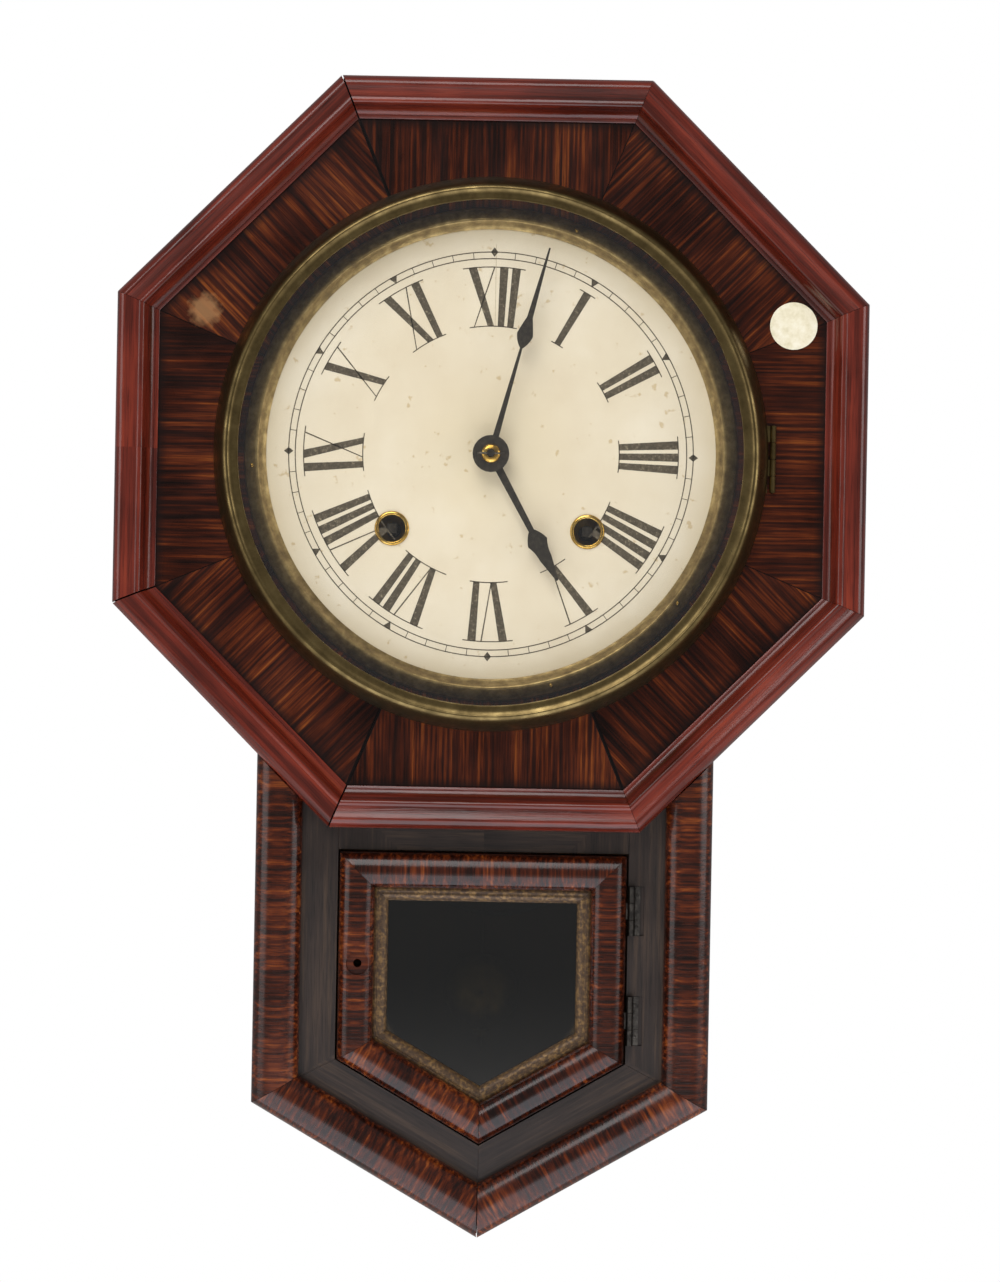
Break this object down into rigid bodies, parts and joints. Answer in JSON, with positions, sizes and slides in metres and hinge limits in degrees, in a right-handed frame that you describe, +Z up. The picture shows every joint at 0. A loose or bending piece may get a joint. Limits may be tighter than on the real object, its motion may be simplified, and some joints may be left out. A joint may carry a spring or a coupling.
{
  "type": "schoolhouse wall clock",
  "caption": "Octagonal drop-case wall clock with a hinged brass bezel, a glazed lower door, a pendulum and a two-train striking movement.",
  "frame": {"origin": "centre of the hanger hole in the wall plane", "axes": "+Z up, +Y into the wall, +X to the right seen from the front; the dial faces -Y"},
  "size_m": [0.307, 0.1073, 0.4744],
  "materials": {
    "pine": "dark stained pine, dull",
    "rosewood_veneer": "cross-banded veneer, worn varnish",
    "mahogany": "polished red mahogany",
    "dark_wood": "dark stained, satin",
    "worn_gilt": "worn gilding over wood",
    "clear_glass": "clear window glass",
    "dark_steel": "darkened steel",
    "black_steel": "blackened steel hands",
    "dial_paper": "aged cream paper on zinc, matt",
    "aged_brass": "dull tarnished brass",
    "bright_brass": "polished brass",
    "movement_brass": "satin clock brass",
    "cast_iron_black": "black japanned iron"
  },
  "bodies": {
    "case": {"backboard": "pine", "left_side_board": "pine", "right_side_board": "pine", "left_bottom_board": "pine", "right_bottom_board": "pine", "top_board": "pine", "hanger_plate": "dark_steel", "octagon_panel": "rosewood_veneer", "octagon_moulding": "mahogany", "front_frame": "dark_wood", "drop_moulding": "rosewood_veneer", "door_hinge_case_leaves": "dark_steel", "dial_plate": "dial_paper", "sight_ring": "aged_brass", "winding_grommets": "bright_brass", "bezel_hinge_leaf": "aged_brass", "back_plate": "movement_brass", "front_plate": "movement_brass", "plate_pillars": "movement_brass", "movement_feet": "movement_brass", "mainsprings": "dark_steel", "suspension_cock": "movement_brass", "gong_stand": "cast_iron_black", "gong_coil": "dark_steel"},
    "door": {"door_frame": "rosewood_veneer", "door_beads": "worn_gilt", "door_glass": "clear_glass", "door_hinge_leaves": "dark_steel"},
    "bezel_assembly": {"bezel": "aged_brass", "bezel_glass": "clear_glass", "bezel_hinge_strap": "aged_brass"},
    "minute_hand_assembly": {"minute_arbor": "dark_steel", "minute_hand": "black_steel", "hand_collet": "bright_brass", "hand_pin": "dark_steel"},
    "hour_hand_assembly": {"hour_hand": "black_steel", "hour_wheel": "movement_brass"},
    "minute_wheel_arbor": {"minute_wheel": "movement_brass"},
    "time_main": {"time_main_wheel": "movement_brass"},
    "time_winding": {"time_winding_arbor": "dark_steel"},
    "time_pawl": {"time_click": "dark_steel"},
    "time_second": {"time_second_wheel": "movement_brass"},
    "centre": {"centre_wheel": "movement_brass"},
    "third": {"third_wheel": "movement_brass"},
    "escape": {"escape_wheel": "movement_brass"},
    "verge_arbor": {"verge": "dark_steel"},
    "pendulum": {"suspension_spring": "dark_steel", "pendulum_rod": "dark_steel", "pendulum_bob": "movement_brass", "rating_nut": "movement_brass"},
    "strike_main": {"strike_main_wheel": "movement_brass"},
    "strike_winding": {"strike_winding_arbor": "dark_steel"},
    "strike_pawl": {"strike_click": "dark_steel"},
    "strike_second": {"strike_second_wheel": "movement_brass"},
    "strike_third": {"strike_third_wheel": "movement_brass"},
    "warning": {"warning_wheel": "movement_brass"},
    "fly_arbor": {"fly": "movement_brass"},
    "count": {"count_wheel": "movement_brass"},
    "strike_lever_arbor": {"strike_lever": "dark_steel"},
    "hammer_arbor": {"hammer": "dark_steel"}
  },
  "joints": [
    {"name": "door_swing", "type": "hinge", "parent": "case", "child": "door", "pos_m": [0.061, -0.0875, -0.14], "axis": [0, 0, 1], "range_deg": [0, 105]},
    {"name": "bezel_swing", "type": "hinge", "parent": "case", "child": "bezel_assembly", "pos_m": [0.1153, -0.09155, -0.14], "axis": [0, 0, 1], "range_deg": [0, 105]},
    {"name": "minute_hand_turn", "type": "hinge", "parent": "case", "child": "minute_hand_assembly", "pos_m": [0, -0.098, -0.14], "axis": [0, 1, 0], "continuous": true},
    {"name": "minute_wheel_turn", "type": "hinge", "parent": "case", "child": "minute_wheel_arbor", "pos_m": [0, -0.067, -0.152], "axis": [0, 1, 0], "continuous": true},
    {"name": "hour_hand_turn", "type": "hinge", "parent": "case", "child": "hour_hand_assembly", "pos_m": [0, -0.095, -0.14], "axis": [0, 1, 0], "continuous": true},
    {"name": "escape_wheel_turn", "type": "hinge", "parent": "case", "child": "escape", "pos_m": [0, -0.04, -0.119], "axis": [0, 1, 0], "continuous": true},
    {"name": "third_wheel_turn", "type": "hinge", "parent": "case", "child": "third", "pos_m": [0.01462, -0.046, -0.12665], "axis": [0, 1, 0], "continuous": true},
    {"name": "centre_wheel_turn", "type": "hinge", "parent": "case", "child": "centre", "pos_m": [0, -0.058, -0.14], "axis": [0, 1, 0], "continuous": true},
    {"name": "time_second_wheel_turn", "type": "hinge", "parent": "case", "child": "time_second", "pos_m": [0.02283, -0.054, -0.14888], "axis": [0, 1, 0], "continuous": true},
    {"name": "time_main_wheel_turn", "type": "hinge", "parent": "case", "child": "time_main", "pos_m": [0.04, -0.058, -0.171], "axis": [0, 1, 0], "continuous": true},
    {"name": "time_winding_turn", "type": "hinge", "parent": "time_main", "child": "time_winding", "pos_m": [0.04, -0.06, -0.171], "axis": [0, 1, 0], "continuous": true},
    {"name": "time_click_lift", "type": "hinge", "parent": "time_main", "child": "time_pawl", "pos_m": [0.04571, -0.06, -0.15876], "axis": [0, 1, 0], "range_deg": [0, 12]},
    {"name": "fly_turn", "type": "hinge", "parent": "case", "child": "fly_arbor", "pos_m": [-0.04172, -0.055, -0.10304], "axis": [0, 1, 0], "continuous": true},
    {"name": "warning_wheel_turn", "type": "hinge", "parent": "case", "child": "warning", "pos_m": [-0.04427, -0.043, -0.11751], "axis": [0, 1, 0], "continuous": true},
    {"name": "strike_third_wheel_turn", "type": "hinge", "parent": "case", "child": "strike_third", "pos_m": [-0.02804, -0.048, -0.12186], "axis": [0, 1, 0], "continuous": true},
    {"name": "strike_second_wheel_turn", "type": "hinge", "parent": "case", "child": "strike_second", "pos_m": [-0.02676, -0.054, -0.14633], "axis": [0, 1, 0], "continuous": true},
    {"name": "strike_main_wheel_turn", "type": "hinge", "parent": "case", "child": "strike_main", "pos_m": [-0.04, -0.058, -0.171], "axis": [0, 1, 0], "continuous": true},
    {"name": "count_wheel_turn", "type": "hinge", "parent": "case", "child": "count", "pos_m": [-0.04206, -0.068, -0.14165], "axis": [0, 1, 0], "continuous": true},
    {"name": "strike_winding_turn", "type": "hinge", "parent": "strike_main", "child": "strike_winding", "pos_m": [-0.04, -0.06, -0.171], "axis": [0, 1, 0], "continuous": true},
    {"name": "strike_click_lift", "type": "hinge", "parent": "strike_main", "child": "strike_pawl", "pos_m": [-0.04571, -0.06, -0.15876], "axis": [0, -1, 0], "range_deg": [0, 12]},
    {"name": "pendulum_swing", "type": "hinge", "parent": "case", "child": "pendulum", "pos_m": [0, -0.026, -0.103], "axis": [0, 1, 0], "range_deg": [-4.5, 4.5]},
    {"name": "verge_rock", "type": "hinge", "parent": "case", "child": "verge_arbor", "pos_m": [0, -0.04, -0.103], "axis": [0, 1, 0], "range_deg": [-4.5, 4.5]},
    {"name": "hammer_lift", "type": "hinge", "parent": "case", "child": "hammer_arbor", "pos_m": [-0.012, -0.045, -0.184], "axis": [0, 1, 0], "range_deg": [0, 12]},
    {"name": "strike_lever_lift", "type": "hinge", "parent": "case", "child": "strike_lever_arbor", "pos_m": [-0.052, -0.07, -0.12], "axis": [0, -1, 0], "range_deg": [0, 10]}
  ],
  "couplings": [
    {"joint": "minute_wheel_turn", "follows": "minute_hand_turn", "ratio": -0.33333},
    {"joint": "hour_hand_turn", "follows": "minute_hand_turn", "ratio": 0.083333},
    {"joint": "third_wheel_turn", "follows": "escape_wheel_turn", "ratio": -0.1},
    {"joint": "centre_wheel_turn", "follows": "escape_wheel_turn", "ratio": 0.01},
    {"joint": "time_second_wheel_turn", "follows": "escape_wheel_turn", "ratio": -0.0016667},
    {"joint": "time_main_wheel_turn", "follows": "escape_wheel_turn", "ratio": 0.00027778},
    {"joint": "warning_wheel_turn", "follows": "fly_turn", "ratio": -0.16667},
    {"joint": "strike_third_wheel_turn", "follows": "fly_turn", "ratio": 0.027778},
    {"joint": "strike_second_wheel_turn", "follows": "fly_turn", "ratio": -0.0046296},
    {"joint": "strike_main_wheel_turn", "follows": "fly_turn", "ratio": 0.0007716},
    {"joint": "count_wheel_turn", "follows": "fly_turn", "ratio": 0.0015432},
    {"joint": "verge_rock", "follows": "pendulum_swing", "ratio": 1}
  ]
}
